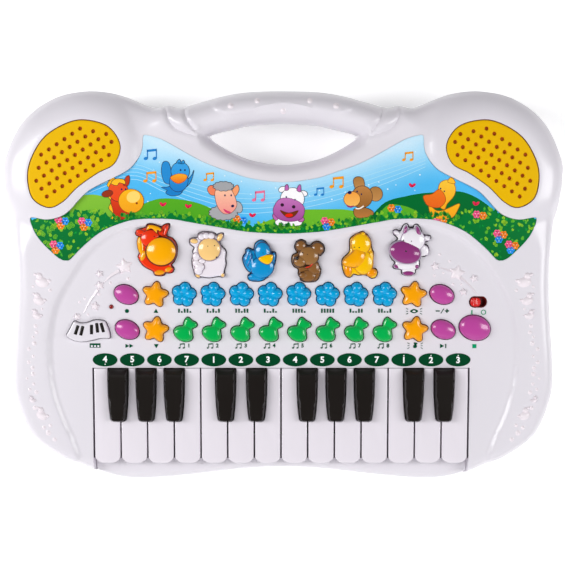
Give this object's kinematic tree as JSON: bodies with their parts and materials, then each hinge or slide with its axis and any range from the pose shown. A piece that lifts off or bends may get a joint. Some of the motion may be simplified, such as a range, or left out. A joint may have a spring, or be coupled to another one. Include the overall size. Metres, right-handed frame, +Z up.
{
  "type": "toy electronic keyboard",
  "caption": "Battery-powered toy keyboard in a tilted two-shell casing with a carry handle, round rear speaker pods, hinged piano keys, shaped push buttons and a slide switch.",
  "frame": {"origin": "centre of the footprint on the surface the feet rest on", "axes": "+X along the keys towards the treble side, +Y from the player to the rear handle, +Z up"},
  "size_m": [0.4112, 0.2915, 0.0608],
  "materials": {
    "body_plastic": "smooth moulded ABS, light lavender white, soft gloss",
    "printed_panel": "printed farm picture under clear gloss film",
    "yellow_plastic": "yellow moulded plastic, satin",
    "speaker_black": "black cone and steel basket",
    "circuit_board": "green lacquered board",
    "grey_rubber": "silicone rubber, matt",
    "red_lens": "dark red lens, unlit",
    "switch_body": "dark red plastic",
    "steel": "bright steel",
    "purple_plastic": "glossy purple cap",
    "orange_plastic": "glossy amber cap",
    "blue_plastic": "glossy sky blue cap",
    "green_plastic": "glossy leaf green cap",
    "black_plastic": "glossy black key",
    "white_key_plastic": "glossy white key",
    "red_plastic": "glossy red knob",
    "horse_red": "painted cap: red with yellow muzzle, mane and hooves",
    "sheep_cream": "painted cap: white wool, cream face",
    "bird_blue": "painted cap: blue with yellow beak",
    "dog_brown": "painted cap: brown with black nose",
    "duck_yellow": "painted cap: yellow with orange beak",
    "cow_white": "painted cap: white with purple muzzle, horns and hooves"
  },
  "bodies": {
    "casing": {"upper_casing": "body_plastic", "lower_casing": "body_plastic", "picture_panel": "printed_panel", "left_speaker_grille": "yellow_plastic", "right_speaker_grille": "yellow_plastic", "left_speaker": "speaker_black", "right_speaker": "speaker_black", "main_circuit_board": "circuit_board", "key_circuit_board": "circuit_board", "button_contact_sheet": "grey_rubber", "key_contact_strip": "grey_rubber", "record_lamp": "red_lens", "power_switch_body": "switch_body", "key_pivot_rod": "steel", "battery_spring_contact": "steel", "battery_plate_contact": "steel"},
    "white_key_f1": {"white_key_f1": "white_key_plastic"},
    "white_key_g1": {"white_key_g1": "white_key_plastic"},
    "white_key_a1": {"white_key_a1": "white_key_plastic"},
    "white_key_b1": {"white_key_b1": "white_key_plastic"},
    "white_key_c2": {"white_key_c2": "white_key_plastic"},
    "white_key_d2": {"white_key_d2": "white_key_plastic"},
    "white_key_e2": {"white_key_e2": "white_key_plastic"},
    "white_key_f2": {"white_key_f2": "white_key_plastic"},
    "white_key_g2": {"white_key_g2": "white_key_plastic"},
    "white_key_a2": {"white_key_a2": "white_key_plastic"},
    "white_key_b2": {"white_key_b2": "white_key_plastic"},
    "white_key_c3": {"white_key_c3": "white_key_plastic"},
    "white_key_d3": {"white_key_d3": "white_key_plastic"},
    "white_key_e3": {"white_key_e3": "white_key_plastic"},
    "black_key_f1_sharp": {"black_key_f1_sharp": "black_plastic"},
    "black_key_g1_sharp": {"black_key_g1_sharp": "black_plastic"},
    "black_key_a1_sharp": {"black_key_a1_sharp": "black_plastic"},
    "black_key_c2_sharp": {"black_key_c2_sharp": "black_plastic"},
    "black_key_d2_sharp": {"black_key_d2_sharp": "black_plastic"},
    "black_key_f2_sharp": {"black_key_f2_sharp": "black_plastic"},
    "black_key_g2_sharp": {"black_key_g2_sharp": "black_plastic"},
    "black_key_a2_sharp": {"black_key_a2_sharp": "black_plastic"},
    "black_key_c3_sharp": {"black_key_c3_sharp": "black_plastic"},
    "black_key_d3_sharp": {"black_key_d3_sharp": "black_plastic"},
    "record_button": {"record_button": "purple_plastic"},
    "replay_button": {"replay_button": "purple_plastic"},
    "volume_button": {"volume_button": "purple_plastic"},
    "demo_button": {"demo_button": "purple_plastic"},
    "tempo_up_button": {"tempo_up_button": "orange_plastic"},
    "tempo_down_button": {"tempo_down_button": "orange_plastic"},
    "voice_button": {"voice_button": "orange_plastic"},
    "clap_button": {"clap_button": "orange_plastic"},
    "stop_button": {"stop_button": "purple_plastic"},
    "piano_button": {"piano_button": "body_plastic"},
    "horse_button": {"horse_button": "horse_red"},
    "sheep_button": {"sheep_button": "sheep_cream"},
    "bird_button": {"bird_button": "bird_blue"},
    "dog_button": {"dog_button": "dog_brown"},
    "duck_button": {"duck_button": "duck_yellow"},
    "cow_button": {"cow_button": "cow_white"},
    "rhythm_button_strip": {"rhythm_button_strip": "blue_plastic"},
    "song_button_strip": {"song_button_strip": "green_plastic"},
    "power_switch_knob": {"power_switch_knob": "red_plastic"},
    "battery_door": {"battery_door": "body_plastic"}
  },
  "joints": [
    {"name": "white_key_f1_hinge", "type": "hinge", "parent": "casing", "child": "white_key_f1", "pos_m": [-0.1317, -0.04818, 0.03069], "axis": [1, 0, 0], "range_deg": [0, 2.8], "stiffness_Nm_per_rad": 0.5, "springref_deg": -2.29},
    {"name": "white_key_g1_hinge", "type": "hinge", "parent": "casing", "child": "white_key_g1", "pos_m": [-0.1117, -0.04818, 0.03069], "axis": [1, 0, 0], "range_deg": [0, 2.8], "stiffness_Nm_per_rad": 0.5, "springref_deg": -2.29},
    {"name": "white_key_a1_hinge", "type": "hinge", "parent": "casing", "child": "white_key_a1", "pos_m": [-0.0917, -0.04818, 0.03069], "axis": [1, 0, 0], "range_deg": [0, 2.8], "stiffness_Nm_per_rad": 0.5, "springref_deg": -2.29},
    {"name": "white_key_b1_hinge", "type": "hinge", "parent": "casing", "child": "white_key_b1", "pos_m": [-0.0717, -0.04818, 0.03069], "axis": [1, 0, 0], "range_deg": [0, 2.8], "stiffness_Nm_per_rad": 0.5, "springref_deg": -2.29},
    {"name": "white_key_c2_hinge", "type": "hinge", "parent": "casing", "child": "white_key_c2", "pos_m": [-0.0517, -0.04818, 0.03069], "axis": [1, 0, 0], "range_deg": [0, 2.8], "stiffness_Nm_per_rad": 0.5, "springref_deg": -2.29},
    {"name": "white_key_d2_hinge", "type": "hinge", "parent": "casing", "child": "white_key_d2", "pos_m": [-0.0317, -0.04818, 0.03069], "axis": [1, 0, 0], "range_deg": [0, 2.8], "stiffness_Nm_per_rad": 0.5, "springref_deg": -2.29},
    {"name": "white_key_e2_hinge", "type": "hinge", "parent": "casing", "child": "white_key_e2", "pos_m": [-0.0117, -0.04818, 0.03069], "axis": [1, 0, 0], "range_deg": [0, 2.8], "stiffness_Nm_per_rad": 0.5, "springref_deg": -2.29},
    {"name": "white_key_f2_hinge", "type": "hinge", "parent": "casing", "child": "white_key_f2", "pos_m": [0.0083, -0.04818, 0.03069], "axis": [1, 0, 0], "range_deg": [0, 2.8], "stiffness_Nm_per_rad": 0.5, "springref_deg": -2.29},
    {"name": "white_key_g2_hinge", "type": "hinge", "parent": "casing", "child": "white_key_g2", "pos_m": [0.0283, -0.04818, 0.03069], "axis": [1, 0, 0], "range_deg": [0, 2.8], "stiffness_Nm_per_rad": 0.5, "springref_deg": -2.29},
    {"name": "white_key_a2_hinge", "type": "hinge", "parent": "casing", "child": "white_key_a2", "pos_m": [0.0483, -0.04818, 0.03069], "axis": [1, 0, 0], "range_deg": [0, 2.8], "stiffness_Nm_per_rad": 0.5, "springref_deg": -2.29},
    {"name": "white_key_b2_hinge", "type": "hinge", "parent": "casing", "child": "white_key_b2", "pos_m": [0.0683, -0.04818, 0.03069], "axis": [1, 0, 0], "range_deg": [0, 2.8], "stiffness_Nm_per_rad": 0.5, "springref_deg": -2.29},
    {"name": "white_key_c3_hinge", "type": "hinge", "parent": "casing", "child": "white_key_c3", "pos_m": [0.0883, -0.04818, 0.03069], "axis": [1, 0, 0], "range_deg": [0, 2.8], "stiffness_Nm_per_rad": 0.5, "springref_deg": -2.29},
    {"name": "white_key_d3_hinge", "type": "hinge", "parent": "casing", "child": "white_key_d3", "pos_m": [0.1083, -0.04818, 0.03069], "axis": [1, 0, 0], "range_deg": [0, 2.8], "stiffness_Nm_per_rad": 0.5, "springref_deg": -2.29},
    {"name": "white_key_e3_hinge", "type": "hinge", "parent": "casing", "child": "white_key_e3", "pos_m": [0.1283, -0.04818, 0.03069], "axis": [1, 0, 0], "range_deg": [0, 2.8], "stiffness_Nm_per_rad": 0.5, "springref_deg": -2.29},
    {"name": "black_key_f1_sharp_hinge", "type": "hinge", "parent": "casing", "child": "black_key_f1_sharp", "pos_m": [-0.1232, -0.04818, 0.03069], "axis": [1, 0, 0], "range_deg": [0, 3], "stiffness_Nm_per_rad": 0.4, "springref_deg": -2.29},
    {"name": "black_key_g1_sharp_hinge", "type": "hinge", "parent": "casing", "child": "black_key_g1_sharp", "pos_m": [-0.1017, -0.04818, 0.03069], "axis": [1, 0, 0], "range_deg": [0, 3], "stiffness_Nm_per_rad": 0.4, "springref_deg": -2.29},
    {"name": "black_key_a1_sharp_hinge", "type": "hinge", "parent": "casing", "child": "black_key_a1_sharp", "pos_m": [-0.0802, -0.04818, 0.03069], "axis": [1, 0, 0], "range_deg": [0, 3], "stiffness_Nm_per_rad": 0.4, "springref_deg": -2.29},
    {"name": "black_key_c2_sharp_hinge", "type": "hinge", "parent": "casing", "child": "black_key_c2_sharp", "pos_m": [-0.0432, -0.04818, 0.03069], "axis": [1, 0, 0], "range_deg": [0, 3], "stiffness_Nm_per_rad": 0.4, "springref_deg": -2.29},
    {"name": "black_key_d2_sharp_hinge", "type": "hinge", "parent": "casing", "child": "black_key_d2_sharp", "pos_m": [-0.0202, -0.04818, 0.03069], "axis": [1, 0, 0], "range_deg": [0, 3], "stiffness_Nm_per_rad": 0.4, "springref_deg": -2.29},
    {"name": "black_key_f2_sharp_hinge", "type": "hinge", "parent": "casing", "child": "black_key_f2_sharp", "pos_m": [0.0168, -0.04818, 0.03069], "axis": [1, 0, 0], "range_deg": [0, 3], "stiffness_Nm_per_rad": 0.4, "springref_deg": -2.29},
    {"name": "black_key_g2_sharp_hinge", "type": "hinge", "parent": "casing", "child": "black_key_g2_sharp", "pos_m": [0.0383, -0.04818, 0.03069], "axis": [1, 0, 0], "range_deg": [0, 3], "stiffness_Nm_per_rad": 0.4, "springref_deg": -2.29},
    {"name": "black_key_a2_sharp_hinge", "type": "hinge", "parent": "casing", "child": "black_key_a2_sharp", "pos_m": [0.0598, -0.04818, 0.03069], "axis": [1, 0, 0], "range_deg": [0, 3], "stiffness_Nm_per_rad": 0.4, "springref_deg": -2.29},
    {"name": "black_key_c3_sharp_hinge", "type": "hinge", "parent": "casing", "child": "black_key_c3_sharp", "pos_m": [0.0968, -0.04818, 0.03069], "axis": [1, 0, 0], "range_deg": [0, 3], "stiffness_Nm_per_rad": 0.4, "springref_deg": -2.29},
    {"name": "black_key_d3_sharp_hinge", "type": "hinge", "parent": "casing", "child": "black_key_d3_sharp", "pos_m": [0.1198, -0.04818, 0.03069], "axis": [1, 0, 0], "range_deg": [0, 3], "stiffness_Nm_per_rad": 0.4, "springref_deg": -2.29},
    {"name": "record_button_press", "type": "slide", "parent": "casing", "child": "record_button", "axis": [0, 0.0872, -0.9962], "range_m": [0, 0.002], "stiffness_N_per_m": 300, "springref_m": -0.0015},
    {"name": "replay_button_press", "type": "slide", "parent": "casing", "child": "replay_button", "axis": [0, 0.0872, -0.9962], "range_m": [0, 0.002], "stiffness_N_per_m": 300, "springref_m": -0.0015},
    {"name": "volume_button_press", "type": "slide", "parent": "casing", "child": "volume_button", "axis": [0, 0.0872, -0.9962], "range_m": [0, 0.002], "stiffness_N_per_m": 300, "springref_m": -0.0015},
    {"name": "demo_button_press", "type": "slide", "parent": "casing", "child": "demo_button", "axis": [0, 0.0872, -0.9962], "range_m": [0, 0.002], "stiffness_N_per_m": 300, "springref_m": -0.0015},
    {"name": "tempo_up_button_press", "type": "slide", "parent": "casing", "child": "tempo_up_button", "axis": [0, 0.0872, -0.9962], "range_m": [0, 0.002], "stiffness_N_per_m": 300, "springref_m": -0.0015},
    {"name": "tempo_down_button_press", "type": "slide", "parent": "casing", "child": "tempo_down_button", "axis": [0, 0.0872, -0.9962], "range_m": [0, 0.002], "stiffness_N_per_m": 300, "springref_m": -0.0015},
    {"name": "voice_button_press", "type": "slide", "parent": "casing", "child": "voice_button", "axis": [0, 0.0872, -0.9962], "range_m": [0, 0.002], "stiffness_N_per_m": 300, "springref_m": -0.0015},
    {"name": "clap_button_press", "type": "slide", "parent": "casing", "child": "clap_button", "axis": [0, 0.0872, -0.9962], "range_m": [0, 0.002], "stiffness_N_per_m": 300, "springref_m": -0.0015},
    {"name": "stop_button_press", "type": "slide", "parent": "casing", "child": "stop_button", "axis": [0, 0.0872, -0.9962], "range_m": [0, 0.002], "stiffness_N_per_m": 300, "springref_m": -0.0015},
    {"name": "piano_button_press", "type": "slide", "parent": "casing", "child": "piano_button", "axis": [0, 0.0872, -0.9962], "range_m": [0, 0.002], "stiffness_N_per_m": 300, "springref_m": -0.0015},
    {"name": "horse_button_press", "type": "slide", "parent": "casing", "child": "horse_button", "axis": [0, 0.0872, -0.9962], "range_m": [0, 0.002], "stiffness_N_per_m": 300, "springref_m": -0.0015},
    {"name": "sheep_button_press", "type": "slide", "parent": "casing", "child": "sheep_button", "axis": [0, 0.0872, -0.9962], "range_m": [0, 0.002], "stiffness_N_per_m": 300, "springref_m": -0.0015},
    {"name": "bird_button_press", "type": "slide", "parent": "casing", "child": "bird_button", "axis": [0, 0.0872, -0.9962], "range_m": [0, 0.002], "stiffness_N_per_m": 300, "springref_m": -0.0015},
    {"name": "dog_button_press", "type": "slide", "parent": "casing", "child": "dog_button", "axis": [0, 0.0872, -0.9962], "range_m": [0, 0.002], "stiffness_N_per_m": 300, "springref_m": -0.0015},
    {"name": "duck_button_press", "type": "slide", "parent": "casing", "child": "duck_button", "axis": [0, 0.0872, -0.9962], "range_m": [0, 0.002], "stiffness_N_per_m": 300, "springref_m": -0.0015},
    {"name": "cow_button_press", "type": "slide", "parent": "casing", "child": "cow_button", "axis": [0, 0.0872, -0.9962], "range_m": [0, 0.002], "stiffness_N_per_m": 300, "springref_m": -0.0015},
    {"name": "rhythm_button_strip_press", "type": "slide", "parent": "casing", "child": "rhythm_button_strip", "axis": [0, 0.0872, -0.9962], "range_m": [0, 0.002], "stiffness_N_per_m": 600, "springref_m": -0.0015},
    {"name": "song_button_strip_press", "type": "slide", "parent": "casing", "child": "song_button_strip", "axis": [0, 0.0872, -0.9962], "range_m": [0, 0.002], "stiffness_N_per_m": 600, "springref_m": -0.0015},
    {"name": "power_switch_slide", "type": "slide", "parent": "casing", "child": "power_switch_knob", "axis": [1, 0, 0], "range_m": [0, 0.004]},
    {"name": "battery_door_hinge", "type": "hinge", "parent": "casing", "child": "battery_door", "pos_m": [0, -0.0127, 0.0015], "axis": [-1, 0, 0], "range_deg": [0, 90]}
  ]
}
